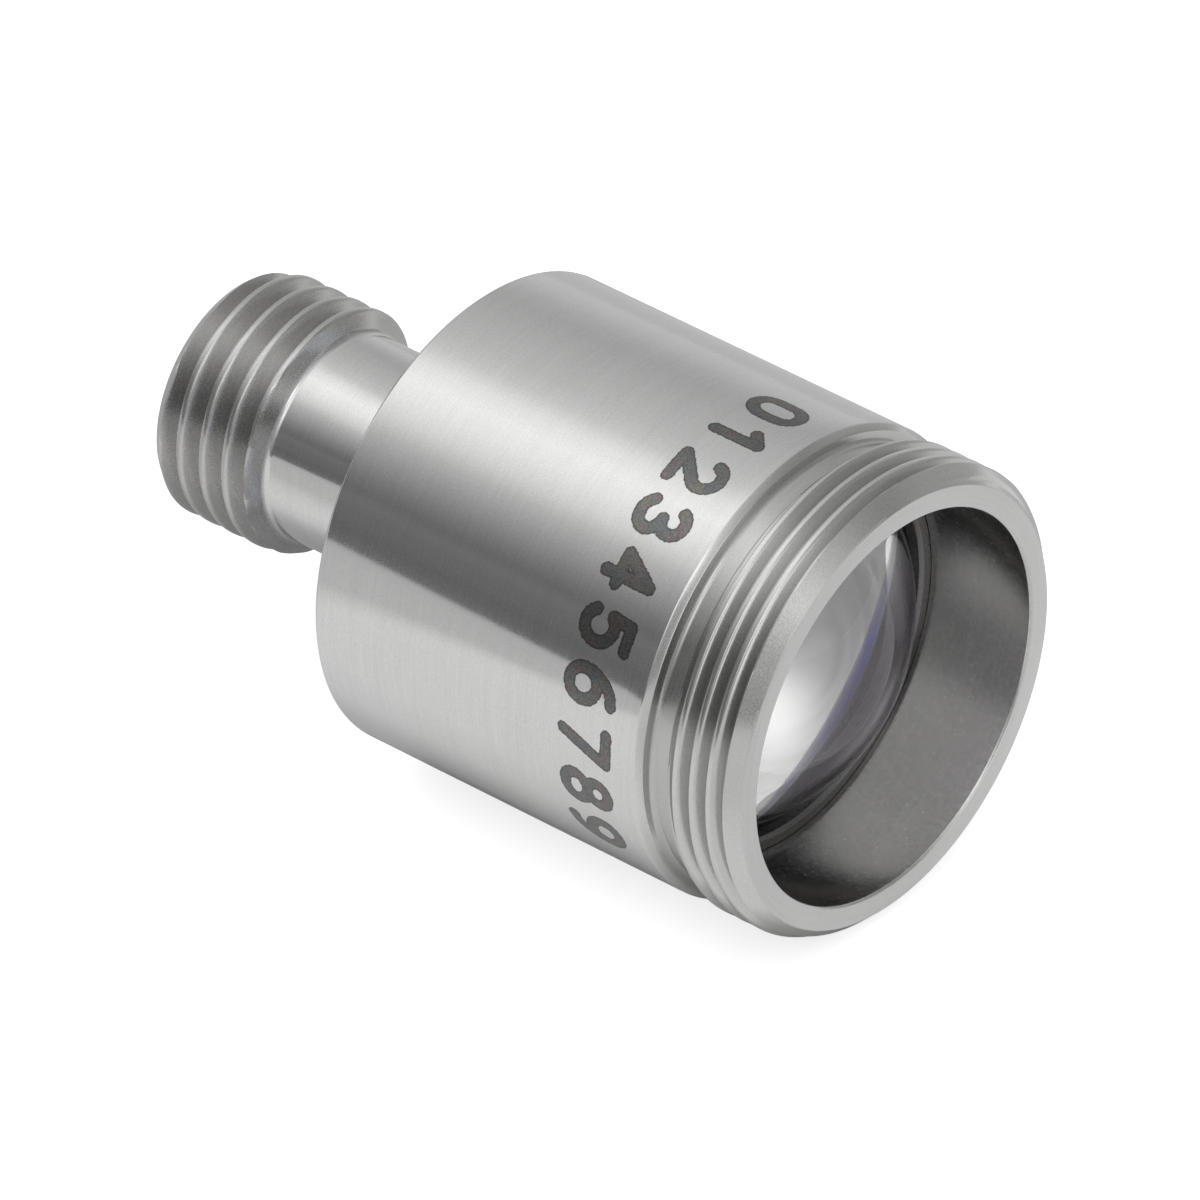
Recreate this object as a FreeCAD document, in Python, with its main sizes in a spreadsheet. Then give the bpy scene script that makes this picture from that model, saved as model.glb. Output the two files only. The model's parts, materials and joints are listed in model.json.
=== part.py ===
# Fixed-focus fibre collimator: a turned stainless housing with a fine-threaded nose, a threaded
# fibre receptacle in its back, and one moulded aspheric lens held in the front bore by a ring.
# Lengths are in millimetres. The optical axis is X. X = 0 is the rear face of the housing, and
# light leaves towards +X. A thread is a row of rings with the thread's true section and pitch:
# the real lead is only one or two degrees.

import FreeCAD, Part
import Sketcher
import math
import os

# The document and the sheet of sizes

doc = FreeCAD.newDocument("FibreCollimator")
sheet = doc.addObject("Spreadsheet::Sheet", "Sizes")

SIZES = [
    ("bodyDiameter", 12.0, "outside of the plain grip cylinder"),
    ("bodyLength", 9.8, "rear face to the front shoulder's edge"),
    ("rearChamfer", 0.1, "broken edge of the rear face"),
    ("shoulderChamfer", 0.15, "broken edge of the front shoulder"),
    ("shoulderRake", 0.08, "axial run of the shoulder's wall"),
    ("reliefDiameter", 11.2, "floor of the groove behind the front thread"),
    ("reliefWidth", 0.58, "flat floor of that groove"),
    ("threadRise", 0.24, "axial run from the groove's floor to the thread's crest"),
    ("frontThreadDiameter", 11.96, "crest of the front thread"),
    ("frontThreadLength", 1.85, "thread's start to the front face"),
    ("frontThreadPitch", 0.5, "front thread, crest to crest"),
    ("frontThreadDepth", 0.29, "front thread, crest to root"),
    ("frontThreadCrest", 0.13, "flat of the front thread's crest, along the axis"),
    ("leadChamfer", 0.4, "lead-in of the front thread"),
    ("lensBoreDiameter", 9.98, "front bore that holds the lens"),
    ("mouthChamfer", 0.06, "broken edge of the front bore"),
    ("lightBoreDiameter", 8.2, "bore behind the lens, open to the rear face"),
    ("receptacleLength", 7.6, "connector seat to the housing's rear face"),
    ("screwDiameter", 6.3, "crest of the connector thread"),
    ("screwLength", 2.95, "threaded length, seat to the last crest"),
    ("screwRunOut", 0.26, "axial run from the last crest to the neck"),
    ("screwPitch", 0.7056, "connector thread, crest to crest"),
    ("screwDepth", 0.44, "connector thread, crest to root"),
    ("screwCrest", 0.15, "flat of the connector thread's crest, along the axis"),
    ("threadAngle", 60.0, "between the flanks of either thread, in degrees"),
    ("threadCutterRise", 0.05, "how far the threads' cutter stands out past their crests"),
    ("seatChamferLength", 0.3, "lead-in of the connector thread, along the axis"),
    ("seatChamferDepth", 0.23, "the same, across the axis"),
    ("neckDiameter", 5.3, "plain neck behind the connector thread"),
    ("neckFillet", 0.12, "hollow corner between run-out and neck"),
    ("spigotLength", 3.0, "spigot inside the housing"),
    ("spigotClearance", 0.01, "radial gap around the spigot"),
    ("spigotChamfer", 0.2, "lead-in of the spigot"),
    ("ferruleBoreDiameter", 3.2, "bore that guides the fibre's ferrule"),
    ("ferruleMouthChamfer", 0.25, "lead-in of the ferrule bore"),
    ("ferruleReach", 9.81, "connector seat to the fibre's end"),
    ("workingDistance", 5.92, "fibre's end to the back of the lens"),
    ("lensClearance", 0.02, "radial gap around the lens"),
    ("lensRadius", 4.7, "radius of curvature at the vertex"),
    ("lensConic", -0.6, "conic constant of the front surface, between -1 and 0"),
    ("lensThickness", 3.69, "on the axis"),
    ("lensRimThickness", 1.14, "flat rim of the lens, front to back"),
    ("lensBevel", 0.12, "ground edges of the lens"),
    ("ringThickness", 0.4, "retaining ring, along the axis"),
    ("ringWidth", 0.34, "retaining ring, across the axis"),
    ("ringClearance", 0.01, "radial gap around the ring, and its gap to the lens rim"),
    ("ringChamfer", 0.1, "inner front edge of the ring"),
]

for row, (alias, size, meaning) in enumerate(SIZES, start=1):
    sheet.set(f"A{row}", meaning)
    sheet.set(f"B{row}", str(size))
    sheet.setAlias(f"B{row}", alias)
doc.recompute()


# Sizes that follow from the driving ones, as expressions on the sheet

def of(alias):
    return f"Sizes.{alias}"


bodyRadius = f"({of('bodyDiameter')} / 2)"
reliefRadius = f"({of('reliefDiameter')} / 2)"
frontThreadRadius = f"({of('frontThreadDiameter')} / 2)"
lensBoreRadius = f"({of('lensBoreDiameter')} / 2)"
lightBoreRadius = f"({of('lightBoreDiameter')} / 2)"
shoulderEdge = f"({of('bodyLength')} + {of('shoulderChamfer')})"
reliefStart = f"({shoulderEdge} + {of('shoulderRake')})"
reliefEnd = f"({reliefStart} + {of('reliefWidth')})"
threadStart = f"({reliefEnd} + {of('threadRise')})"
frontFace = f"({threadStart} + {of('frontThreadLength')})"

seatX = f"(-{of('receptacleLength')})"
fibreEnd = f"({seatX} + {of('ferruleReach')})"
lensBack = f"({fibreEnd} + {of('workingDistance')})"
lensRimFront = f"({lensBack} + {of('lensRimThickness')})"
lensVertex = f"({lensBack} + {of('lensThickness')})"
lensOuterRadius = f"({lensBoreRadius} - {of('lensClearance')})"
ringOuterRadius = f"({lensBoreRadius} - {of('ringClearance')})"
ringInnerRadius = f"({ringOuterRadius} - {of('ringWidth')})"
ringBack = f"({lensRimFront} + {of('ringClearance')})"
ringFront = f"({ringBack} + {of('ringThickness')})"

screwRadius = f"({of('screwDiameter')} / 2)"
neckRadius = f"({of('neckDiameter')} / 2)"
screwEnd = f"({seatX} + {of('screwLength')})"
neckStart = f"({screwEnd} + {of('screwRunOut')})"
spigotRadius = f"({lightBoreRadius} - {of('spigotClearance')})"
ferruleBoreRadius = f"({of('ferruleBoreDiameter')} / 2)"


def number(expression):
    found = sheet.evalExpression(expression)
    return float(getattr(found, "Value", found))


# Turned pieces: a closed outline in the XY plane, spun about X

def outline(body, name, corners, dome=None):
    # Each corner is a pair of expressions, along the axis and out from it. "0" means on the axis
    # or on the rear face's plane, and None leaves the corner to the dome. The dome is an arc of an
    # ellipse that runs back from the corner numbered "vertex", which is on the axis.
    sketch = body.newObject("Sketcher::SketchObject", name)
    plane = next(item for item in body.Origin.OriginFeatures if item.Role == "XY_Plane")
    sketch.AttachmentSupport = (plane, [""])
    sketch.MapMode = "FlatFace"
    count = len(corners)
    curved = dome["vertex"] - 1 if dome else None
    heights = [dome["height"](along) if out is None else number(out) for along, out in corners]
    points = [FreeCAD.Vector(number(corners[i][0]), heights[i], 0) for i in range(count)]
    for index, point in enumerate(points):
        if index == curved:
            sketch.addGeometry(dome["arc"](point), False)
        else:
            sketch.addGeometry(Part.LineSegment(point, points[(index + 1) % count]), False)

    def head(index):  # the end of an edge where the outline enters it
        return 2 if index == curved else 1

    for index in range(count):
        following = (index + 1) % count
        sketch.addConstraint(
            Sketcher.Constraint("Coincident", index, 3 - head(index), following, head(following)))
    for index, (along, out) in enumerate(corners):
        for kind, expression, axis in (("DistanceX", along, -2), ("DistanceY", out, -1)):
            if expression == "0":
                sketch.addConstraint(
                    Sketcher.Constraint("PointOnObject", index, head(index), axis))
            elif expression is not None:
                bind(sketch, kind, (-1, 1, index, head(index)), expression)
    if dome:
        sketch.exposeInternalGeometry(curved)
        sketch.addConstraint(Sketcher.Constraint("PointOnObject", curved, 3, -1))
        sketch.addConstraint(Sketcher.Constraint("Horizontal", count))
        bind(sketch, "DistanceX", (-1, 1, curved, 3), dome["centre"])
        bind(sketch, "DistanceY", (count + 1, 2, count + 1, 1), f"2 * {dome['across']}")
    return sketch


def bind(sketch, kind, ends, expression):
    at = sketch.addConstraint(Sketcher.Constraint(kind, *ends, number(expression)))
    sketch.setExpression(f"Constraints[{at}]", expression)


def spin(body, kind, name, corners, dome=None):
    sketch = outline(body, name + "Outline", corners, dome)
    feature = body.newObject("PartDesign::" + kind, name)
    feature.Profile = sketch
    feature.ReferenceAxis = (sketch, ["H_Axis"])
    feature.Angle = 360
    doc.recompute()
    return feature


def cut_thread(body, name, radius, start, end, pitch, depth, crest):
    # The first crest begins at "start". The cutter leaves a flat root between two flanks, and its
    # grooves follow each other as long as their middles come before "end".
    slope = f"tan({of('threadAngle')} / 2 * 1 deg)"
    half_gap = f"(({pitch} - {crest}) / 2)"
    half_root = f"({half_gap} - {depth} * {slope})"
    half_top = f"({half_gap} + {of('threadCutterRise')} * {slope})"
    middle = f"({start} + {crest} + {half_gap})"
    groove = spin(body, "Groove", name, [
        (f"{middle} - {half_root}", f"{radius} - {depth}"),
        (f"{middle} + {half_root}", f"{radius} - {depth}"),
        (f"{middle} + {half_top}", f"{radius} + {of('threadCutterRise')}"),
        (f"{middle} - {half_top}", f"{radius} + {of('threadCutterRise')}"),
    ])
    pattern = body.newObject("PartDesign::LinearPattern", name + "Turns")
    pattern.Originals = [groove]
    pattern.Direction = (groove.Profile[0], ["H_Axis"])
    pattern.Mode = "Spacing"
    pattern.setExpression("Offset", pitch)
    pattern.setExpression("Occurrences", f"floor(({end} - {middle}) / {pitch}) + 1")
    body.Tip = pattern
    doc.recompute()
    return pattern


def rims(feature, along, out):
    # Names of the circular edges of that radius at that place on the axis
    x, radius = number(along), number(out)
    names = []
    for index, edge in enumerate(feature.Shape.Edges, start=1):
        curve = edge.Curve
        if isinstance(curve, Part.Circle) and abs(curve.Radius - radius) < 1e-4:
            if abs(curve.Center.x - x) < 1e-4:
                names.append(f"Edge{index}")
    return names


def round_off(body, name, feature, places, size):
    fillet = body.newObject("PartDesign::Fillet", name)
    fillet.Base = (feature, [edge for along, out in places for edge in rims(feature, along, out)])
    fillet.setExpression("Radius", size)
    doc.recompute()
    return fillet


def new_body(label):
    body = doc.addObject("PartDesign::Body", label)
    body.Label = label
    return body


# Housing: one turned piece, with the stepped bore cut from the front

def make_housing():
    body = new_body("housing")
    chamfer, rear = of("shoulderChamfer"), of("rearChamfer")
    spin(body, "Revolution", "HousingBar", [
        ("0", "0"),
        ("0", f"{bodyRadius} - {rear}"),
        (rear, bodyRadius),
        (of("bodyLength"), bodyRadius),
        (shoulderEdge, f"{bodyRadius} - {chamfer}"),
        (reliefStart, reliefRadius),
        (reliefEnd, reliefRadius),
        (threadStart, frontThreadRadius),
        (f"{frontFace} - {of('leadChamfer')}", frontThreadRadius),
        (frontFace, f"{frontThreadRadius} - {of('leadChamfer')}"),
        (frontFace, "0"),
    ])
    spin(body, "Groove", "LensBore", [
        (lensBack, "0"),
        (lensBack, lensBoreRadius),
        (f"{frontFace} - {of('mouthChamfer')}", lensBoreRadius),
        (frontFace, f"{lensBoreRadius} + {of('mouthChamfer')}"),
        (frontFace, "0"),
    ])
    spin(body, "Groove", "LightBore", [
        ("0", "0"),
        ("0", lightBoreRadius),
        (lensBack, lightBoreRadius),
        (lensBack, "0"),
    ])
    cut_thread(
        body, "NoseThread", frontThreadRadius, threadStart, f"({frontFace} - {of('leadChamfer')})",
        of("frontThreadPitch"), of("frontThreadDepth"), of("frontThreadCrest"))
    return body


# Receptacle: threaded barrel, neck and the spigot that seats in the housing's light bore

def make_receptacle():
    body = new_body("sma_receptacle")
    bar = spin(body, "Revolution", "ReceptacleBar", [
        (seatX, "0"),
        (seatX, f"{screwRadius} - {of('seatChamferDepth')}"),
        (f"{seatX} + {of('seatChamferLength')}", screwRadius),
        (screwEnd, screwRadius),
        (neckStart, neckRadius),
        ("0", neckRadius),
        ("0", spigotRadius),
        (f"{of('spigotLength')} - {of('spigotChamfer')}", spigotRadius),
        (of("spigotLength"), f"{spigotRadius} - {of('spigotChamfer')}"),
        (of("spigotLength"), "0"),
    ])
    round_off(body, "NeckCorner", bar, [(neckStart, neckRadius)], of("neckFillet"))
    mouth = of("ferruleMouthChamfer")
    spin(body, "Groove", "FerruleBore", [
        (seatX, "0"),
        (seatX, f"{ferruleBoreRadius} + {mouth}"),
        (f"{seatX} + {mouth}", ferruleBoreRadius),
        (of("spigotLength"), ferruleBoreRadius),
        (of("spigotLength"), "0"),
    ])
    cut_thread(
        body, "ConnectorThread", screwRadius, f"({seatX} + {of('seatChamferLength')})", screwEnd,
        of("screwPitch"), of("screwDepth"), of("screwCrest"))
    return body


# Lens: a flat rim with ground edges and a domed front. The dome is a conic surface with a constant
# between -1 and 0, so its section is the end of an ellipse whose long axis is the optical axis.

def make_lens():
    body = new_body("aspheric_lens")
    bevel = of("lensBevel")
    stretch = f"(1 + {of('lensConic')})"
    along = f"({of('lensRadius')} / {stretch})"
    across = f"({of('lensRadius')} / sqrt({stretch}))"
    centre = f"({lensVertex} - {along})"

    def height(place):
        return number(across) * math.sqrt(1 - ((number(place) - number(centre)) / number(along)) ** 2)

    def arc(rimPoint):
        middle = FreeCAD.Vector(number(centre), 0, 0)
        ellipse = Part.Ellipse(
            middle + FreeCAD.Vector(number(along), 0, 0),
            middle + FreeCAD.Vector(0, number(across), 0),
            middle)
        return Part.ArcOfEllipse(ellipse, 0, ellipse.parameter(rimPoint))

    corners = [
        (lensBack, "0"),
        (lensBack, f"{lensOuterRadius} - {bevel}"),
        (f"{lensBack} + {bevel}", lensOuterRadius),
        (f"{lensRimFront} - {bevel}", lensOuterRadius),
        (lensRimFront, f"{lensOuterRadius} - {bevel}"),
        (lensRimFront, None),
        (lensVertex, "0"),
    ]
    vertex = len(corners) - 1
    spin(body, "Revolution", "LensBlank", corners,
         {"vertex": vertex, "height": height, "arc": arc, "centre": centre, "across": across})
    return body


# Retaining ring: sits on the lens rim, in the front bore

def make_ring():
    body = new_body("lens_retaining_ring")
    chamfer = of("ringChamfer")
    spin(body, "Revolution", "RingBar", [
        (ringBack, ringInnerRadius),
        (ringBack, ringOuterRadius),
        (ringFront, ringOuterRadius),
        (ringFront, f"{ringInnerRadius} + {chamfer}"),
        (f"{ringFront} - {chamfer}", ringInnerRadius),
    ])
    return body


# Build, check and write

pieces = [make_housing(), make_receptacle(), make_lens(), make_ring()]
doc.recompute()

for item in doc.Objects:
    if "Invalid" in item.State or "Error" in item.State:
        raise RuntimeError(f"{item.Name} did not build: {item.State}")
for piece in pieces:
    if piece.Shape.isNull() or not piece.Shape.isValid() or len(piece.Shape.Solids) != 1:
        raise RuntimeError(f"{piece.Label} is not one valid solid")

os.makedirs("parts", exist_ok=True)
for piece in pieces:
    piece.Shape.exportStep(f"parts/{piece.Label}.step")
    box = piece.Shape.BoundBox
    print(f"{piece.Label}: {piece.Shape.Volume:.3f} mm3, {box.XMin:.3f} to {box.XMax:.3f} along X, "
          f"{box.YLength:.3f} across")
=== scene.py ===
import bpy, json, math
from mathutils import Matrix, Vector


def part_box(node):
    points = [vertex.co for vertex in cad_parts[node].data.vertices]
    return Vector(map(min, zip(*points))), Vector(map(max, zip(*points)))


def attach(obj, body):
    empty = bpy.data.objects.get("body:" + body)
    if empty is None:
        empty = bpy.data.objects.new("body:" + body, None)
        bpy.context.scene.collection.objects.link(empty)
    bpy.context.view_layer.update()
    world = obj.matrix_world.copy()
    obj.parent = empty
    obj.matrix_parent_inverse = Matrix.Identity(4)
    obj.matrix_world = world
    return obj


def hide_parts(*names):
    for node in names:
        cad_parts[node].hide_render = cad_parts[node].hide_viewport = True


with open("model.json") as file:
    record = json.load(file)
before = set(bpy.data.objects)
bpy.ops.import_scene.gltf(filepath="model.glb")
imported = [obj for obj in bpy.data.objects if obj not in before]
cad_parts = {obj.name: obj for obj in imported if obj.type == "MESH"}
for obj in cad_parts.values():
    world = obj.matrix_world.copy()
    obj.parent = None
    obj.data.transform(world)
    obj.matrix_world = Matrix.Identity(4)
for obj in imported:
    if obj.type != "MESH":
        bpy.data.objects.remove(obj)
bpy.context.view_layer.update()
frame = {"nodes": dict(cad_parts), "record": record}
mounts = {mount["name"]: mount for mount in frame["record"]["mounts"]}
mm = 0.001
print("frame loaded:", ", ".join(sorted(frame["nodes"])))


# Places along the optical axis and radii, read from the frame

def wallOf(name):  # where a round mount's wall starts and ends on the axis, and its radius
    sizes = mounts[name]["dims"]
    middle, half = mounts[name]["pos_m"][0], sizes["length_mm"] * mm / 2
    return middle - half, middle + half, sizes["r_mm"] * mm


def spanOf(node):  # where a node starts and ends on the axis, and its radius
    low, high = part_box(node)
    return low.x, high.x, high.y


gripStart, gripEnd, gripRadius = wallOf("barrel")
noseStart, _, noseRadius = wallOf("front_thread")
ferruleRadius = wallOf("ferrule_bore")[2]
rearFace, frontFace, _ = spanOf("housing")
seatFace, spigotEnd, spigotRadius = spanOf("sma_receptacle")
lensBack, lensVertex, lensRadius = spanOf("aspheric_lens")
ringBack, ringFront, ringRadius = spanOf("lens_retaining_ring")
screwRadius = wallOf("sma_thread")[2]


# Node trees

def addNode(tree, kind, values=None, **settings):
    # values go to sockets by name or number: a socket is linked, anything else is set
    node = tree.nodes.new(kind)
    for key, value in settings.items():
        setattr(node, key, value)
    for key, value in (values or {}).items():
        if isinstance(value, bpy.types.NodeSocket):
            tree.links.new(value, node.inputs[key])
        else:
            node.inputs[key].default_value = value
    return node


def maths(tree, operation, *terms):
    return addNode(tree, "ShaderNodeMath", dict(enumerate(terms)), operation=operation).outputs[0]


def geometryTree(name, sockets):
    tree = bpy.data.node_groups.new(name, "GeometryNodeTree")
    tree.interface.new_socket("Geometry", in_out="INPUT", socket_type="NodeSocketGeometry")
    tree.interface.new_socket("Geometry", in_out="OUTPUT", socket_type="NodeSocketGeometry")
    for label, kind in sockets.items():
        tree.interface.new_socket(label, in_out="INPUT", socket_type="NodeSocket" + kind)
    return tree, tree.nodes.new("NodeGroupInput").outputs, tree.nodes.new("NodeGroupOutput").inputs


def bake(piece, tree, values):  # runs a tree on a piece and keeps the result as a plain mesh
    modifier = piece.modifiers.new(tree.name, "NODES")
    modifier.node_group = tree
    for item in tree.interface.items_tree:
        if item.item_type == "SOCKET" and item.in_out == "INPUT" and item.name in values:
            modifier[item.identifier] = values[item.name]
    depsgraph = bpy.context.evaluated_depsgraph_get()
    mesh = bpy.data.meshes.new_from_object(
        piece.evaluated_get(depsgraph), preserve_all_data_layers=True, depsgraph=depsgraph)
    piece.modifiers.remove(modifier)
    piece.data = mesh
    mesh.name = piece.name


def lineObject(name, points, edges):
    mesh = bpy.data.meshes.new(name)
    mesh.from_pydata([(*point[:2], 0) for point in points], edges, [])
    piece = bpy.data.objects.new(name, mesh)
    bpy.context.scene.collection.objects.link(piece)
    return piece


# Turning: an outline in the XY plane is spun about X. Its helix rows climb one pitch in a turn, their
# radius is that of a thread's tooth, and a cone at each end cuts them off, as a lead-in and a run-out do.

turningSizes = {"mergeDistance": 0.0005 * mm, "sharpAngle": 32}  # to close the seam, and degrees at a crease


def turningTree():
    tree, given, result = geometryTree("turning", {
        "Segments": "Int", "Pitch": "Float", "Crest Place": "Float", "Crest Radius": "Float",
        "Crest Width": "Float", "Flank Slope": "Float", "Depth": "Float", "Edge Rounding": "Float",
        "Rear X": "Float", "Rear Radius": "Float", "Rear Slope": "Float",
        "Front X": "Float", "Front Radius": "Float", "Front Slope": "Float",
        "Marks": "Object", "Mark Radius": "Float", "Sharp Angle": "Float", "Material": "Material",
        "Threaded From": "Float", "Threaded To": "Float", "Threaded": "Material",
        "Faced From": "Float", "Faced": "Material", "Bored Radius": "Float", "Bored": "Material",
        "Seat Front": "Float", "Seat": "Material", "Inner Radius": "Float", "Inner": "Material"})

    def step(operation, *terms):
        return maths(tree, operation, *terms)

    position = addNode(tree, "GeometryNodeInputPosition").outputs[0]
    outline = addNode(tree, "GeometryNodeAttributeDomainSize", {"Geometry": given["Geometry"]})
    rows = outline.outputs["Point Count"]
    grid = addNode(tree, "GeometryNodeMeshGrid", {
        "Size X": 1.0, "Size Y": 1.0, "Vertices X": step("ADD", given["Segments"], 1.0), "Vertices Y": rows})
    share = addNode(tree, "ShaderNodeSeparateXYZ", {0: position}).outputs
    turn = step("ADD", share["X"], 0.5)
    row = step("ROUND", step("MULTIPLY", step("ADD", share["Y"], 0.5), step("SUBTRACT", rows, 1.0)))

    def onOutline(kind, field):  # the outline's value at this row
        return addNode(tree, "GeometryNodeSampleIndex", {
            "Geometry": given["Geometry"], "Value": field, "Index": row}, data_type=kind).outputs["Value"]

    plain = addNode(tree, "ShaderNodeSeparateXYZ", {0: onOutline("FLOAT_VECTOR", position)}).outputs
    helix = addNode(tree, "GeometryNodeInputNamedAttribute", {"Name": "helix"}, data_type="FLOAT")
    isHelix = step("GREATER_THAN", onOutline("FLOAT", helix.outputs[0]), 0.5)

    climbed = step("MULTIPLY_ADD", given["Pitch"], turn, plain["X"])
    clipped = step("MINIMUM", step("MAXIMUM", climbed, given["Rear X"]), given["Front X"])
    pitches = step("DIVIDE", step("SUBTRACT", clipped, given["Crest Place"]), given["Pitch"])
    phase = step("SUBTRACT", pitches, turn)
    fromCrest = step("MULTIPLY", step("PINGPONG", phase, 0.5), given["Pitch"])
    pastCrest = step("SUBTRACT", fromCrest, step("MULTIPLY", given["Crest Width"], 0.5))
    flank = step("SUBTRACT", given["Crest Radius"], step("MULTIPLY", pastCrest, given["Flank Slope"]))
    tooth = step("SMOOTH_MIN", flank, given["Crest Radius"], given["Edge Rounding"])
    tooth = step("MAXIMUM", tooth, step("SUBTRACT", given["Crest Radius"], given["Depth"]))

    def cone(end, run):  # the radius of the cone at an end, that far from it
        return step("MULTIPLY_ADD", run, given[end + " Slope"], given[end + " Radius"])

    rearCone = cone("Rear", step("SUBTRACT", clipped, given["Rear X"]))
    frontCone = cone("Front", step("SUBTRACT", given["Front X"], clipped))
    cut = step("MINIMUM", step("MINIMUM", rearCone, frontCone), tooth)

    def chosen(turned, helical):
        return step("MULTIPLY_ADD", isHelix, step("SUBTRACT", helical, turned), turned)

    along, out = chosen(plain["X"], clipped), chosen(plain["Y"], cut)
    angle = step("MULTIPLY", turn, 2 * math.pi)

    # Distance in millimetres to the marks' lines on the unrolled surface, kept for the material
    marks = addNode(tree, "GeometryNodeObjectInfo", {"Object": given["Marks"]}).outputs["Geometry"]
    around = step("MULTIPLY", angle, given["Mark Radius"])
    unrolled = addNode(tree, "ShaderNodeCombineXYZ", {0: along, 1: around}).outputs[0]
    near = addNode(
        tree, "GeometryNodeProximity", {0: marks, "Source Position": unrolled}, target_element="EDGES")
    offSurface = step("ABSOLUTE", step("SUBTRACT", out, given["Mark Radius"]))
    markDistance = step("DIVIDE", step("ADD", near.outputs["Distance"], offSurface), mm)
    marked = addNode(tree, "GeometryNodeStoreNamedAttribute", {
        "Geometry": grid.outputs["Mesh"], "Name": "markDistance", "Value": markDistance},
        data_type="FLOAT", domain="POINT")

    across, up = step("MULTIPLY", out, step("COSINE", angle)), step("MULTIPLY", out, step("SINE", angle))
    place = addNode(tree, "ShaderNodeCombineXYZ", {0: along, 1: across, 2: up})
    spun = addNode(tree, "GeometryNodeSetPosition", {
        "Geometry": marked.outputs[0], "Position": place.outputs[0]})
    closed = addNode(tree, "GeometryNodeMergeByDistance", {
        "Geometry": spun.outputs[0], "Distance": turningSizes["mergeDistance"]})
    smooth = addNode(tree, "GeometryNodeSetShadeSmooth", {
        "Geometry": closed.outputs[0], "Shade Smooth": True}, domain="FACE")
    bend = addNode(tree, "GeometryNodeInputMeshEdgeAngle").outputs["Unsigned Angle"]
    creased = addNode(tree, "GeometryNodeSetShadeSmooth", {
        "Geometry": smooth.outputs[0], "Selection": step("GREATER_THAN", bend, given["Sharp Angle"]),
        "Shade Smooth": False}, domain="EDGE")
    whole = addNode(tree, "GeometryNodeRealizeInstances", {0: creased.outputs[0]})

    # The threaded stretch, the end faces, the bores and the lens's seat have finishes of their own
    middle = addNode(tree, "ShaderNodeSeparateXYZ", {0: position}).outputs
    off = addNode(tree, "ShaderNodeCombineXYZ", {1: middle["Y"], 2: middle["Z"]})
    fromAxis = addNode(tree, "ShaderNodeVectorMath", {0: off.outputs[0]}, operation="LENGTH").outputs["Value"]
    inThread = step(
        "MULTIPLY", step("GREATER_THAN", middle["X"], given["Threaded From"]),
        step("LESS_THAN", middle["X"], given["Threaded To"]))
    inBore = step("LESS_THAN", fromAxis, given["Bored Radius"])
    inSeat = step("MULTIPLY", inBore, step("LESS_THAN", middle["X"], given["Seat Front"]))
    finished = addNode(tree, "GeometryNodeSetMaterial", {
        "Geometry": whole.outputs[0], "Material": given["Material"]})
    for where, finish in (
            (inThread, "Threaded"),
            (step("GREATER_THAN", middle["X"], given["Faced From"]), "Faced"),
            (inBore, "Bored"),
            (inSeat, "Seat"),
            (step("LESS_THAN", fromAxis, given["Inner Radius"]), "Inner")):
        finished = addNode(tree, "GeometryNodeSetMaterial", {
            "Geometry": finished.outputs[0], "Selection": where, "Material": given[finish]})
    tree.links.new(finished.outputs[0], result["Geometry"])
    return tree


turning = turningTree()


def rounded(before, corner, after, cut, steps=3):  # an arc in place of a corner, cut back that far each way
    before, corner, after = Vector(before), Vector(corner), Vector(after)
    first = corner + (before - corner).normalized() * cut
    last = corner + (after - corner).normalized() * cut
    shares = [step / steps for step in range(steps + 1)]
    return [tuple(first * (1 - t) ** 2 + corner * 2 * t * (1 - t) + last * t ** 2) for t in shares]


def outlineOf(corners):
    # corners are (along, out, cut), cut 0 for a sharp one, or a list of rows that is kept as it is
    ends = [corner[0] if isinstance(corner, list) else corner for corner in corners]
    starts = [corner[-1] if isinstance(corner, list) else corner for corner in corners]
    points = []
    for place, corner in enumerate(corners):
        if isinstance(corner, list):
            points += corner
        elif corner[2]:
            before, after = starts[place - 1], ends[(place + 1) % len(corners)]
            points += [(*point, 0) for point in rounded(before[:2], corner[:2], after[:2], corner[2])]
        else:
            points.append((*corner[:2], 0))
    return points


def turned(name, points, node, slot, material, values, closed=True):
    # points are (along, out, isHelix)
    points = points + points[:1] if closed else points
    piece = lineObject(name, points, [(row, row + 1) for row in range(len(points) - 1)])
    helix = piece.data.attributes.new("helix", "FLOAT", "POINT")
    helix.data.foreach_set("value", [float(point[2]) for point in points])
    common = {  # with limits a metre away, so that only a piece that gives its own is faced or has a seat
        "Pitch": 1.0, "Faced From": 1.0, "Seat Front": -1.0, "Material": material,
        "Sharp Angle": math.radians(turningSizes["sharpAngle"])}
    bake(piece, turning, {**common, **values})
    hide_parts(node)
    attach(piece, "root")
    triangles = sum(len(face.vertices) - 2 for face in piece.data.polygons)
    print(f"{name}: {triangles} triangles")


def helixRows(start, end, thread):  # rows from a pitch before the start to the end, close at the crests
    pitch, shares = thread["pitch"], thread["rowShares"]
    first = math.floor((start - thread["crestPlace"]) / pitch) - 1
    last = math.ceil((end - thread["crestPlace"]) / pitch)
    steps = [tooth + share for tooth in range(first, last + 1) for share in shares]
    return [(thread["crestPlace"] + pitch * step, 0, 1) for step in steps]


def threadValues(thread, crestRadius, rear, front):
    return {
        "Pitch": thread["pitch"], "Crest Place": thread["crestPlace"], "Crest Radius": crestRadius,
        "Crest Width": thread["crestWidth"], "Depth": thread["depth"],
        "Edge Rounding": thread["edgeRounding"],
        "Flank Slope": 1 / math.tan(math.radians(thread["flankAngle"])),
        "Rear X": rear[0], "Rear Radius": rear[1], "Rear Slope": rear[2],
        "Front X": front[0], "Front Radius": front[1], "Front Slope": front[2]}


# Materials

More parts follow.
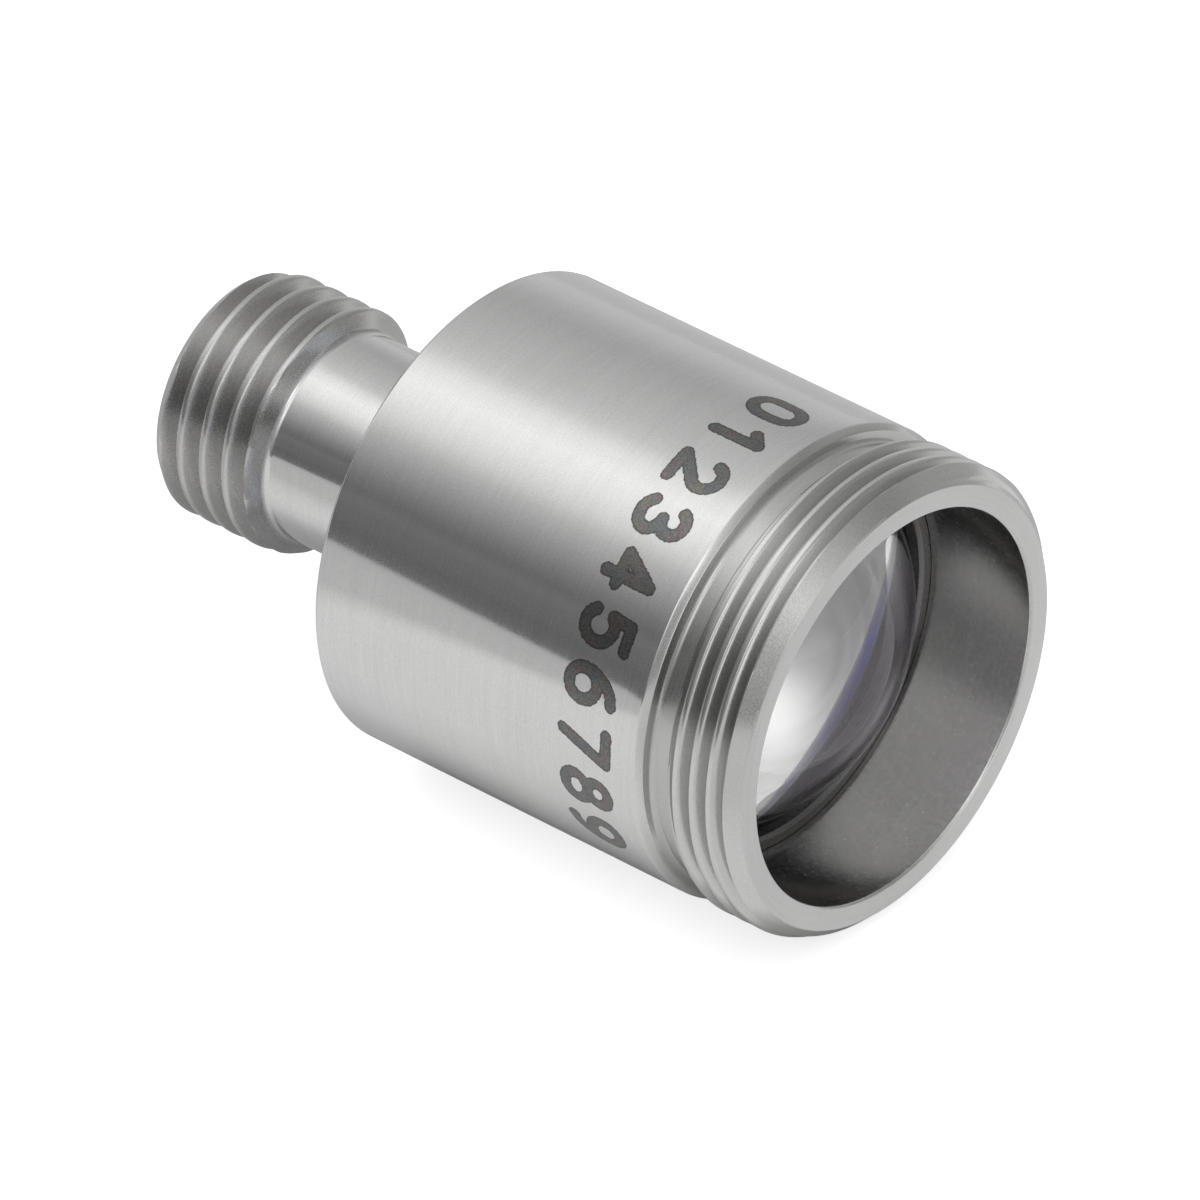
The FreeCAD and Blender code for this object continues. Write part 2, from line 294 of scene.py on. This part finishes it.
def newMaterial(name):
    material = bpy.data.materials.new(name)
    material.use_nodes = True
    tree = material.node_tree
    tree.nodes.clear()
    shader = addNode(tree, "ShaderNodeBsdfPrincipled")
    addNode(tree, "ShaderNodeOutputMaterial", {"Surface": shader.outputs[0]})
    return material, tree, shader


steelFinishes = {
    "turned": {  # the grip, the neck and the flat faces
        "colour": (0.645, 0.645, 0.64, 1), "streaks": (0.56, 0.56, 0.555, 1),
        "roughness": 0.12, "roughnessSpread": 0.03, "anisotropy": 0.55,
        "lineSpacing": 0.045 * mm, "lineDepth": 0.08, "grainSize": 0.035 * mm, "grainDepth": 0.12},
    "threaded": {
        "colour": (0.61, 0.61, 0.6, 1), "streaks": (0.52, 0.52, 0.51, 1),
        "roughness": 0.2, "roughnessSpread": 0.05, "anisotropy": 0.4,
        "lineSpacing": 0.03 * mm, "lineDepth": 0.3, "grainSize": 0.035 * mm, "grainDepth": 0.15,
        # painted shade: the share of colour left at the bottom of the grooves
        "hollowShade": 0.8},
    "screwed": {  # the receptacle's thread
        "colour": (0.56, 0.555, 0.545, 1), "streaks": (0.45, 0.445, 0.435, 1),
        "roughness": 0.24, "roughnessSpread": 0.06, "anisotropy": 0.4,
        "lineSpacing": 0.03 * mm, "lineDepth": 0.3, "grainSize": 0.035 * mm, "grainDepth": 0.2},
    "bored": {
        "colour": (0.6, 0.595, 0.585, 1), "streaks": (0.51, 0.505, 0.495, 1),
        "roughness": 0.235, "roughnessSpread": 0.04, "anisotropy": 0.1,
        "lineSpacing": 0.06 * mm, "lineDepth": 0.01, "grainSize": 0.12 * mm, "grainDepth": 0.06},
    "faced": {  # the front face
        "colour": (0.61, 0.61, 0.605, 1), "streaks": (0.53, 0.53, 0.525, 1),
        "roughness": 0.3, "roughnessSpread": 0.03, "anisotropy": 0,
        "lineSpacing": 0.06 * mm, "lineDepth": 0.05, "grainSize": 0.035 * mm, "grainDepth": 0.25},
    "mottled": {  # the spigot's end, seen through the lens
        "colour": (0.7, 0.7, 0.69, 1), "streaks": (0.54, 0.54, 0.53, 1),
        "roughness": 0.15, "roughnessSpread": 0.03, "anisotropy": 0.2,
        "lineSpacing": 0.1 * mm, "lineDepth": 0.02, "grainSize": 0.3 * mm, "grainDepth": 0.1},
    # The chamfer behind the lens, with painted colours by degrees about the axis: a painted blue fringe in
    # place of the glass's colour fringe, with painted shade in its dark middle. Known
    # fault: nothing limits it towards the back, so the housing's rear face gets this finish too
    "lit": {
        "tints": {
            -60: (0.85, 0.87, 0.95), -50: (0.7, 0.72, 0.92), -47: (0.3, 0.3, 0.62), -44: (0.08, 0.08, 0.42),
            -41.5: (0.08, 0.08, 0.6), -39: (0.22, 0.24, 1), -37: (0.6, 0.65, 1), -34: (0.92, 0.95, 1)},
        "roughness": 0.5, "roughnessSpread": 0.03, "anisotropy": 0,
        "lineSpacing": 0.06 * mm, "lineDepth": 0.02, "grainSize": 0.035 * mm, "grainDepth": 0.1},
    # The retaining ring and the bores behind the lens: steel darkened as painted shade
    "dull": {  # the retaining ring and the bores behind the lens
        "colour": (0.18, 0.175, 0.172, 1), "streaks": (0.13, 0.127, 0.125, 1),
        "roughness": 0.3, "roughnessSpread": 0.05, "anisotropy": 0.3,
        "lineSpacing": 0.03 * mm, "lineDepth": 0.2, "grainSize": 0.035 * mm, "grainDepth": 0.1},
}
steelPattern = {  # how fine turning lines, broad ones (spacing in fine ones) and grain make up each finish
    "fineShare": 0.25, "fineRound": 2.5, "fineDetail": 3.0,
    "broadShare": 0.12, "broadRound": 1.2, "broadDetail": 2.0, "broadSpacing": 9,
    "grainShare": 0.63, "colourRange": (0.38, 0.62), "roughnessRange": (0.35, 0.65), "relief": 0.002 * mm,
}
markLooks = {
    "colours": {
        0: (0.15, 0.155, 0.147), 0.35: (0.137, 0.146, 0.15), 0.55: (0.165, 0.168, 0.147),
        0.75: (0.172, 0.138, 0.145), 1: (0.15, 0.15, 0.145)},
    "patchSize": 0.3 * mm, "patchRange": (0.25, 0.75), "grainSize": 0.04 * mm, "grainRange": (0.3, 0.7),
    "palest": 1.35, "darkest": 0.7, "roughness": 0.3, "edgeBlur": 0.01, "rimWidth": 0.06, "rimShade": 0.5,
    "raggedness": 0.08, "raggedSize": 0.08 * mm, "detail": 3.0,
}


def ramp(tree, share, stops):  # stops are colours by place
    node = addNode(tree, "ShaderNodeValToRGB", {"Fac": share})
    marks = node.color_ramp.elements
    for place, colour in stops.items():
        mark = {0: marks[0], 1: marks[-1]}.get(place) or marks.new(place)
        mark.color = (*colour[:3], 1)
    return node.outputs[0]


def spread(tree, value, low, high, lowest=0.0, highest=1.0):
    return addNode(tree, "ShaderNodeMapRange", {
        "Value": value, "From Min": low, "From Max": high,
        "To Min": lowest, "To Max": highest}).outputs["Result"]


def rampBetween(tree, value, stops, unit):  # stops are colours by the value in that unit
    first, last = min(stops), max(stops)
    places = {(spot - first) / (last - first): colour for spot, colour in stops.items()}
    return ramp(tree, spread(tree, value, first * unit, last * unit), places)


def mixed(tree, share, first, second):
    return addNode(tree, "ShaderNodeMix", {"Factor": share, 6: first, 7: second}, data_type="RGBA").outputs[2]


def shaded(tree, colour, share):
    return addNode(tree, "ShaderNodeVectorMath", {0: colour, "Scale": share}, operation="SCALE").outputs[0]


def noise(tree, place, size, detail=2.0):
    node = addNode(tree, "ShaderNodeTexNoise", {"Vector": place, "Scale": 1 / size, "Detail": detail})
    return node.outputs["Fac"]


def laserMarks(tree, place, colour, roughness):  # burnt lines where the distance attribute is small
    looks = markLooks
    distance = addNode(tree, "ShaderNodeAttribute", attribute_name="markDistance").outputs["Fac"]
    ragged = maths(tree, "SUBTRACT", noise(tree, place, looks["raggedSize"], looks["detail"]), 0.5)
    edge = maths(tree, "MULTIPLY_ADD", ragged, looks["raggedness"], distance)
    half, blur = digitSizes["lineWidth"] / mm / 2, looks["edgeBlur"]
    inside = spread(tree, edge, half + blur, half - blur)
    rim = spread(tree, edge, half, half - looks["rimWidth"], looks["rimShade"], 1.0)
    grain = noise(tree, place, looks["grainSize"], looks["detail"])
    mottle = spread(tree, grain, *looks["grainRange"], looks["darkest"], looks["palest"])
    patches = spread(tree, noise(tree, place, looks["patchSize"]), *looks["patchRange"])
    burnt = shaded(tree, ramp(tree, patches, looks["colours"]), maths(tree, "MULTIPLY", rim, mottle))
    rough = addNode(tree, "ShaderNodeMix", {"Factor": inside, 2: roughness, 3: looks["roughness"]})
    return mixed(tree, inside, colour, burnt), rough.outputs[0]


def turnedSteel(finish, marked=False, paintedShadeSpan=None):
    # Turning marks run round the axis, so their pattern is a noise along the outline: axis plus radius.
    # A painted shade span is two radii, the deeper one first, and a place along the axis where it ends;
    # between them the colour is darkened as painted shade in the grooves.
    looks, pattern = steelFinishes[finish], steelPattern
    material, tree, shader = newMaterial(("marked" if marked else finish) + "_steel")
    place = addNode(tree, "ShaderNodeTexCoord").outputs["Object"]
    xyz = addNode(tree, "ShaderNodeSeparateXYZ", {0: place}).outputs
    squares = maths(tree, "MULTIPLY_ADD", xyz["Y"], xyz["Y"], maths(tree, "MULTIPLY", xyz["Z"], xyz["Z"]))
    out = maths(tree, "SQRT", squares)
    along = maths(tree, "ADD", xyz["X"], out)
    angle = maths(tree, "ARCTAN2", xyz["Z"], xyz["Y"])

    def turnLines(spacing, aroundScale, detail):
        spot = addNode(tree, "ShaderNodeCombineXYZ", {
            0: maths(tree, "DIVIDE", along, spacing),
            1: maths(tree, "MULTIPLY", maths(tree, "COSINE", angle), aroundScale),
            2: maths(tree, "MULTIPLY", maths(tree, "SINE", angle), aroundScale)}).outputs[0]
        return noise(tree, spot, 1.0, detail)

    fine = turnLines(looks["lineSpacing"], pattern["fineRound"], pattern["fineDetail"])
    broad = turnLines(
        looks["lineSpacing"] * pattern["broadSpacing"], pattern["broadRound"], pattern["broadDetail"])
    grain = noise(tree, place, looks["grainSize"], pattern["fineDetail"])
    streak = maths(tree, "MULTIPLY", grain, pattern["grainShare"])
    streak = maths(tree, "MULTIPLY_ADD", broad, pattern["broadShare"], streak)
    streak = maths(tree, "MULTIPLY_ADD", fine, pattern["fineShare"], streak)
    if "tints" in looks:
        # painted light: colours by angle for the glass's blue fringe, with painted shade in the band's middle
        colour = rampBetween(tree, angle, looks["tints"], math.radians(1))
    else:
        colour = mixed(tree, spread(tree, streak, *pattern["colourRange"]), looks["streaks"], looks["colour"])
    # painted shade: the colour darkens towards the bottom of the thread's grooves and the relief groove
    if paintedShadeSpan:
        deep, level, end = paintedShadeSpan
        within = maths(tree, "LESS_THAN", xyz["X"], end)
        depth = maths(tree, "MULTIPLY", spread(tree, out, level, deep), within)
        colour = shaded(tree, colour, spread(tree, depth, 0, 1, 1, looks["hollowShade"]))
    middle, half = looks["roughness"], looks["roughnessSpread"]
    roughness = spread(tree, streak, *pattern["roughnessRange"], middle - half, middle + half)
    if marked:
        colour, roughness = laserMarks(tree, place, colour, roughness)
    tree.links.new(colour, shader.inputs["Base Color"])
    tree.links.new(roughness, shader.inputs["Roughness"])
    height = maths(tree, "MULTIPLY", grain, looks["grainDepth"])
    height = maths(tree, "MULTIPLY_ADD", fine, looks["lineDepth"], height)
    bump = addNode(tree, "ShaderNodeBump", {"Height": height, "Strength": 1.0, "Distance": pattern["relief"]})
    tree.links.new(bump.outputs[0], shader.inputs["Normal"])
    tangent = addNode(tree, "ShaderNodeTangent", direction_type="RADIAL", axis="X")
    tree.links.new(tangent.outputs[0], shader.inputs["Tangent"])
    shader.inputs["Metallic"].default_value = 1
    shader.inputs["Anisotropic"].default_value = looks["anisotropy"]
    shader.inputs["Anisotropic Rotation"].default_value = 0.25  # a quarter turn, to blur across the lines
    return material


# Housing

housingSizes = {
    "segments": 540, "edgeCut": 0.03 * mm, "markRow": 0.055 * mm,
    "rearChamfer": 0.1 * mm, "shoulderChamfer": 0.15 * mm, "shoulderRake": 0.08 * mm,
    "reliefRadius": 5.6 * mm, "threadRise": 0.35 * mm, "footCut": 0.12 * mm,
    "mouthChamfer": 0.06 * mm, "ringClearance": 0.01 * mm, "spigotClearance": 0.01 * mm,
    "leadChamfer": 0.4 * mm, "seatChamfer": 0.5 * mm, "seatChamferLength": 0.72 * mm,
    "seatEdge": 0.01 * mm,
}
noseThread = {
    "pitch": 0.5 * mm, "crestPlace": 10.749 * mm, "crestWidth": 0.13 * mm, "depth": 0.29 * mm,
    "flankAngle": 30, "edgeRounding": 0.08 * mm,
    "rowShares": (  # rows by their distance from a crest, in pitches
        -0.46, -0.38, -0.3, -0.24, -0.2, -0.17, -0.14, -0.11, -0.08,
        0, 0.08, 0.11, 0.14, 0.17, 0.2, 0.24, 0.3, 0.38, 0.46),
}


def gripRows(sizes):  # rows close enough together for the digits' edges
    first = digitSizes["base"] - digitSizes["lineWidth"]
    last = digitSizes["base"] + digitSizes["height"] + digitSizes["lineWidth"]
    count = round((last - first) / sizes["markRow"])
    return [(first + (last - first) * row / count, gripRadius, 0) for row in range(count + 1)]


def makeHousing(marks):
    sizes, thread = housingSizes, noseThread
    edge = sizes["edgeCut"]
    bore = ringRadius + sizes["ringClearance"]
    lightBore = spigotRadius + sizes["spigotClearance"]
    shoulder = gripEnd + sizes["shoulderChamfer"]
    reliefStart, reliefEnd = shoulder + sizes["shoulderRake"], noseStart - sizes["threadRise"]
    leadRadius = noseRadius - sizes["leadChamfer"]
    rise = (noseRadius - sizes["reliefRadius"]) / sizes["threadRise"]
    corners = [
        (rearFace, gripRadius - sizes["rearChamfer"], edge),
        (gripStart, gripRadius, edge),
        gripRows(sizes),
        (gripEnd, gripRadius, edge),
        (shoulder, gripRadius - sizes["shoulderChamfer"], edge),
        (reliefStart, sizes["reliefRadius"], sizes["footCut"]),
        (reliefEnd, sizes["reliefRadius"], 0),
        helixRows(reliefEnd, frontFace, thread),
        (frontFace, leadRadius, 0),
        (frontFace, bore + sizes["mouthChamfer"], edge),
        (frontFace - sizes["mouthChamfer"], bore, edge),
        (lensBack, bore, 0),
        (lensBack, lightBore + sizes["seatChamfer"], 0),
        (lensBack - sizes["seatChamferLength"], lightBore, edge),
        (rearFace, lightBore, edge),
    ]
    values = threadValues(
        thread, noseRadius, (reliefEnd, sizes["reliefRadius"], rise),
        (frontFace, leadRadius, 1.0))  # the lead chamfer rises at 45 degrees
    # painted shade in the nose's grooves, up to the lead chamfer
    paintedShadeSpan = sizes["reliefRadius"], noseRadius, frontFace - sizes["leadChamfer"]
    values.update({
        "Segments": sizes["segments"], "Mark Radius": gripRadius, "Marks": marks,
        "Threaded": turnedSteel("threaded", paintedShadeSpan=paintedShadeSpan),
        "Threaded From": gripEnd + edge, "Threaded To": frontFace - edge,
        "Faced": turnedSteel("faced"), "Faced From": frontFace - edge,
        "Bored": turnedSteel("bored"), "Bored Radius": bore + edge,
        # the chamfer behind the lens gets the painted fringe and painted shade
        "Seat": turnedSteel("lit"), "Seat Front": lensBack - sizes["seatEdge"],
        "Inner": dull, "Inner Radius": lightBore + edge})
    steel = turnedSteel("turned", marked=True)
    turned("turned_housing", outlineOf(corners), "housing", "turned_steel", steel, values)


# Counting digits, lasered round the grip. Each is a few lines and arcs on a cell one high and one
# wide: an arc is centre, radii, first and last angle in degrees.

digitSizes = {
    "firstAngle": 77.2, "lastAngle": 208.2, "base": 7.66 * mm, "height": 1.28 * mm, "width": 0.78 * mm,
    "lineWidth": 0.34 * mm, "arcStep": 12,
}
digitForms = {
    "0": [
        ("arc", 0.5, 0.66, 0.5, 0.34, 180, 0), ("line", 1, 0.66, 1, 0.34),
        ("arc", 0.5, 0.34, 0.5, 0.34, 0, -180), ("line", 0, 0.34, 0, 0.66)],
    "1": [("line", 0.12, 0.76, 0.58, 1), ("line", 0.58, 1, 0.58, 0)],
    "2": [("arc", 0.5, 0.7, 0.48, 0.3, 165, -38), ("line", 0.88, 0.515, 0.02, 0), ("line", 0.02, 0, 1, 0)],
    "3": [("arc", 0.48, 0.75, 0.42, 0.25, 155, -90), ("arc", 0.48, 0.25, 0.5, 0.25, 90, -155)],
    "4": [("line", 0.72, 0, 0.72, 1), ("line", 0.72, 1, 0, 0.3), ("line", 0, 0.3, 1, 0.3)],
    "5": [
        ("line", 0.92, 1, 0.16, 1), ("line", 0.16, 1, 0.1, 0.56), ("arc", 0.48, 0.33, 0.5, 0.33, 137, -150)],
    "6": [("arc", 0.5, 0.32, 0.5, 0.32, 0, 360), ("arc", 0.86, 0.32, 0.86, 0.68, 180, 92)],
    "7": [("line", 0, 1, 1, 1), ("line", 1, 1, 0.36, 0)],
    "8": [("arc", 0.5, 0.76, 0.42, 0.24, 0, 360), ("arc", 0.5, 0.26, 0.5, 0.26, 0, 360)],
    "9": [("arc", 0.5, 0.68, 0.5, 0.32, 0, 360), ("arc", 0.14, 0.68, 0.86, 0.68, 0, -88)],
}


def formPoints(form):
    if form[0] == "line":
        return [form[1:3], form[3:5]]
    _, acrossMiddle, upMiddle, acrossRadius, upRadius, first, last = form
    steps = max(2, round(abs(last - first) / digitSizes["arcStep"]))
    angles = [math.radians(first + (last - first) * step / steps) for step in range(steps + 1)]
    return [(acrossMiddle + acrossRadius * math.cos(a), upMiddle + upRadius * math.sin(a)) for a in angles]


def digitLines():  # the digits' middle lines on the unrolled grip: x along the axis, y round it
    sizes, points, edges = digitSizes, [], []
    reach = math.radians(sizes["lastAngle"] - sizes["firstAngle"]) * gripRadius - sizes["width"]
    start = math.radians(sizes["firstAngle"]) * gripRadius
    for place, digit in enumerate(sorted(digitForms)):
        left = start + reach * place / (len(digitForms) - 1)
        for form in digitForms[digit]:
            line = [
                (sizes["base"] + up * sizes["height"], left + across * sizes["width"])
                for across, up in formPoints(form)]
            edges += [(len(points) + step, len(points) + step + 1) for step in range(len(line) - 1)]
            points += line
    return lineObject("digit_lines", points, edges)


# painted shade: the darkened steel for the ring and the bores behind the lens
plain, dull = turnedSteel("turned"), turnedSteel("dull")
digits = digitLines()
makeHousing(digits)
bpy.data.objects.remove(digits)


# Receptacle

receptacleSizes = {
    "segments": 360, "edgeCut": 0.03 * mm, "screwLength": 2.95 * mm, "neckRadius": 2.65 * mm,
    "runOut": 0.26 * mm, "seatChamferLength": 0.3 * mm, "seatChamferDepth": 0.23 * mm,
    "neckCut": 0.12 * mm, "spigotChamfer": 0.2 * mm, "mouthChamfer": 0.25 * mm,
}
screwThread = {
    "pitch": 0.7056 * mm, "crestPlace": -7.059 * mm, "crestWidth": 0.15 * mm, "depth": 0.44 * mm,
    "flankAngle": 30, "edgeRounding": 0.08 * mm, "rowShares": noseThread["rowShares"],
}


def makeReceptacle():
    sizes, thread = receptacleSizes, screwThread
    edge, neck = sizes["edgeCut"], sizes["neckRadius"]
    screwEnd = seatFace + sizes["screwLength"]
    neckStart = screwEnd + sizes["runOut"]
    foot = rounded((screwEnd, screwRadius), (neckStart, neck), (rearFace, neck), sizes["neckCut"])
    fall = (screwRadius - neck) / sizes["runOut"]
    corners = [
        helixRows(seatFace, foot[0][0], thread),
        [(*point, 0) for point in foot],
        (rearFace, neck, sizes["neckCut"]),
        (rearFace, spigotRadius, 0),
        (spigotEnd - sizes["spigotChamfer"], spigotRadius, 0),
        (spigotEnd, spigotRadius - sizes["spigotChamfer"], 0),
        (spigotEnd, ferruleRadius, edge),
        (seatFace + sizes["mouthChamfer"], ferruleRadius, edge),
        (seatFace, ferruleRadius + sizes["mouthChamfer"], 0),
    ]
    seatRadius = screwRadius - sizes["seatChamferDepth"]
    values = threadValues(
        thread, screwRadius, (seatFace, seatRadius, sizes["seatChamferDepth"] / sizes["seatChamferLength"]),
        (*foot[0], fall))
    values.update({
        "Segments": sizes["segments"],
        "Threaded": turnedSteel("screwed"), "Threaded From": seatFace + edge, "Threaded To": neckStart,
        "Faced": turnedSteel("mottled"), "Faced From": spigotEnd - edge / 2,
        "Inner": dull, "Inner Radius": ferruleRadius + edge})
    points = outlineOf(corners)
    turned("turned_receptacle", points, "sma_receptacle", "receptacle_steel", plain, values)


makeReceptacle()


# Lens

lensSizes = {
    "segments": 256, "vertexRadius": 4.7 * mm, "conic": -0.6, "bevel": 0.12 * mm,
    "rimGap": 0.01 * mm, "domeRows": 72,
}


def makeLens(material):
    sizes = lensSizes
    rimFront = ringBack - sizes["rimGap"]
    sag = lensVertex - rimFront
    dome = []
    for row in range(sizes["domeRows"] + 1):
        drop = sag * (row / sizes["domeRows"]) ** 2
        out = math.sqrt(max(0, 2 * sizes["vertexRadius"] * drop - (1 + sizes["conic"]) * drop ** 2))
        dome.append((lensVertex - drop, out, 0))
    bevel = sizes["bevel"]
    corners = [
        (lensBack, 0, 0),
        (lensBack, lensRadius - bevel, 0),
        (lensBack + bevel, lensRadius, 0),
        (rimFront - bevel, lensRadius, 0),
        (rimFront, lensRadius - bevel, 0),
        dome[::-1],
    ]
    points, values = outlineOf(corners), {"Segments": sizes["segments"]}
    turned("coated_lens", points, "aspheric_lens", "coated_glass", material, values, closed=False)


glassLooks = {"tint": (0.92, 0.925, 0.94, 1), "ior": 1.58, "reflection": (0.5, 0.37, 0.53, 1)}


def coatedGlass(looks):
    material, tree, shader = newMaterial("coated_glass")
    shader.inputs["Transmission Weight"].default_value = 1
    shader.inputs["Base Color"].default_value = looks["tint"]
    shader.inputs["IOR"].default_value = looks["ior"]
    shader.inputs["Roughness"].default_value = 0
    shader.inputs["Specular Tint"].default_value = looks["reflection"]
    return material


makeLens(coatedGlass(glassLooks))


# Retaining ring

ringSizes = {"segments": 360, "width": 0.34 * mm, "chamfer": 0.1 * mm, "edgeCut": 0.02 * mm}


def makeRing():
    sizes = ringSizes
    inner, edge = ringRadius - sizes["width"], sizes["edgeCut"]
    corners = [
        (ringBack, inner, 0),
        (ringBack, ringRadius, edge),
        (ringFront, ringRadius, edge),
        (ringFront, inner + sizes["chamfer"], edge),
        (ringFront - sizes["chamfer"], inner, edge),
    ]
    points, values = outlineOf(corners), {"Segments": sizes["segments"]}
    turned("turned_ring", points, "lens_retaining_ring", "ring_steel", dull, values)


makeRing()


# Floor, light and camera

studio = {
    "floorHeight": -gripRadius, "floorSize": 0.3, "floorColour": (0.7, 0.7, 0.7, 1), "floorSeen": 0.72,
    # The floor's painted glow in mirrors and glass, with painted shade under the body and nose and behind
    # the neck: levels by millimetres across the body, beside it, and along the axis in front of the nose
    "bodyGlow": {70: 0.1, 22: 0, -3: 0, -4.2: 0.07, -5.8: 0.27, -8: 0.36, -11: 0.36, -19: 0.38, -70: 0.24},
    "bodyGlowEnds": (13.5 * mm, 12.5 * mm), "neckGlow": 0.3, "neckGlowEnds": (-13 * mm, -8 * mm),
    "noseGlow": {12.6: 0, 13.2: 0.42, 16: 0.36, 22: 0.23},
}


def makeFloor():
    bpy.ops.mesh.primitive_plane_add(size=studio["floorSize"], location=(0, 0, studio["floorHeight"]))
    floor = bpy.context.object
    floor.name = "floor"
    material, tree, shader = newMaterial("white_floor")
    shader.inputs["Base Color"].default_value = studio["floorColour"]
    shader.inputs["Roughness"].default_value = 1
    shader.inputs["Specular IOR Level"].default_value = 0
    rays = addNode(tree, "ShaderNodeLightPath").outputs
    mirrored = maths(tree, "MAXIMUM", rays["Is Glossy Ray"], rays["Is Transmission Ray"])
    place = addNode(tree, "ShaderNodeTexCoord").outputs["Object"]
    xyz = addNode(tree, "ShaderNodeSeparateXYZ", {0: place}).outputs

    def glowAlong(axis, levels):  # levels by millimetres
        greys = {spot: (level, level, level) for spot, level in levels.items()}
        return rampBetween(tree, xyz[axis], greys, mm)

    # painted shade: the mirrored glow falls off under and by the body, under the nose and behind the neck, in
    # place of the object's shadow
    atBody = spread(tree, xyz["X"], *studio["bodyGlowEnds"])
    atNeck = spread(tree, xyz["X"], *studio["neckGlowEnds"], studio["neckGlow"], 1.0)
    beside = maths(tree, "MULTIPLY", atBody, glowAlong("Y", studio["bodyGlow"]))
    beside = maths(tree, "MULTIPLY", beside, atNeck)
    inFront = glowAlong("X", studio["noseGlow"])
    glow = maths(tree, "MULTIPLY", mirrored, maths(tree, "ADD", beside, inFront))
    glow = maths(tree, "MULTIPLY_ADD", rays["Is Camera Ray"], studio["floorSeen"], glow)
    shader.inputs["Emission Color"].default_value = (1, 1, 1, 1)
    tree.links.new(glow, shader.inputs["Emission Strength"])
    floor.data.materials.append(material)


# Brightness of the studio by the angle about the axis, in degrees from the far side over the top, for
# directions that lean back (-) or ahead (+) along the axis by that share

skyBands = {
    -0.2: {
        0: 0.72, 10: 0.68, 20: 0.6, 30: 0.56, 40: 0.6, 57: 0.7, 67: 0.77, 77: 0.9, 87: 1.24, 97: 1.4,
        107: 1.28, 117: 1.05, 127: 0.7, 137: 0.48, 147: 0.3, 151: 0.25, 155: 0.205, 160: 0.24, 165: 0.21,
        170: 0.205, 174: 0.18, 180: 0.2},
    0.2: {
        0: 0.5, 23: 0.52, 43: 0.35, 55: 0.4, 68: 0.6, 85: 0.9, 100: 1.2, 115: 1.4, 130: 1.8, 142: 1.8,
        152: 1.1, 165: 0.5, 180: 0.3},
    0.5: {
        0: 0.42, 10: 0.38, 23: 0.46, 43: 0.36, 55: 0.42, 68: 0.6, 85: 0.8, 100: 0.95, 115: 1.0, 137: 0.8,
        155: 0.5, 180: 0.4},
    0.7: {
        0: 0.35, 17: 0.38, 43: 0.36, 55: 0.42, 68: 0.6, 85: 0.8, 100: 1.2, 107: 1.8, 114: 2.6, 124: 2.5,
        131: 1.6, 138: 0.75, 150: 0.6, 165: 0.45, 180: 0.4},
    0.83: {
        0: 0.5, 23: 0.45, 43: 0.4, 55: 0.45, 68: 0.55, 85: 0.75, 100: 0.85, 115: 0.68, 137: 0.46,
        160: 0.4, 180: 0.36},
}
skyAhead = {"level": 1.3, "from": 0.87, "to": 0.94}  # ahead of the nose, where the bands run together


def makeWorld():
    world = bpy.data.worlds.new("studio")
    world.use_nodes = True
    tree = world.node_tree
    tree.nodes.clear()
    direction = addNode(tree, "ShaderNodeTexCoord").outputs["Generated"]
    xyz = addNode(tree, "ShaderNodeSeparateXYZ", {0: direction}).outputs
    angle = maths(tree, "ABSOLUTE", maths(tree, "ARCTAN2", xyz["Z"], xyz["Y"]))
    share = maths(tree, "DIVIDE", angle, math.pi)

    def bands(levels):
        return ramp(tree, share, {degrees / 180: (level, level, level) for degrees, level in levels.items()})

    places = sorted(skyBands)
    sky = bands(skyBands[places[0]])
    for behind, ahead in zip(places, places[1:]):
        sky = mixed(tree, spread(tree, xyz["X"], behind, ahead), sky, bands(skyBands[ahead]))
    ahead, level = spread(tree, xyz["X"], skyAhead["from"], skyAhead["to"]), skyAhead["level"]
    sky = mixed(tree, ahead, sky, (level, level, level, 1))
    seen = addNode(tree, "ShaderNodeLightPath").outputs["Is Camera Ray"]
    shown = mixed(tree, seen, sky, (1, 1, 1, 1))
    background = addNode(tree, "ShaderNodeBackground", {"Color": shown, "Strength": 1.0})
    addNode(tree, "ShaderNodeOutputWorld", {"Surface": background.outputs[0]})
    bpy.context.scene.world = world


camera = {
    "azimuth": 40.25, "elevation": 35.2, "focal": 497.48, "sensor": 36.0, "nearest": 0.01,
    "originInView": (-2.8352 * mm, -2.2125 * mm, 391.248 * mm),  # the frame's origin: right, down, forward
}


def makeCamera():
    azimuth, elevation = math.radians(camera["azimuth"]), math.radians(camera["elevation"])
    right = Vector((math.cos(azimuth), math.sin(azimuth), 0))
    forward = Vector((
        -math.sin(azimuth) * math.cos(elevation), math.cos(azimuth) * math.cos(elevation),
        -math.sin(elevation)))
    up = right.cross(forward)
    across, down, away = camera["originInView"]
    lens = bpy.data.cameras.new("camera")
    lens.lens, lens.sensor_width, lens.clip_start = camera["focal"], camera["sensor"], camera["nearest"]
    eye = bpy.data.objects.new("camera", lens)
    place = -(right * across - up * down + forward * away)
    eye.matrix_world = Matrix((
        (right.x, up.x, -forward.x, place.x), (right.y, up.y, -forward.y, place.y),
        (right.z, up.z, -forward.z, place.z), (0, 0, 0, 1)))
    bpy.context.scene.collection.objects.link(eye)
    bpy.context.scene.camera = eye


makeFloor()
makeWorld()
makeCamera()
bpy.context.scene.view_settings.view_transform = "Standard"
print("stage made")
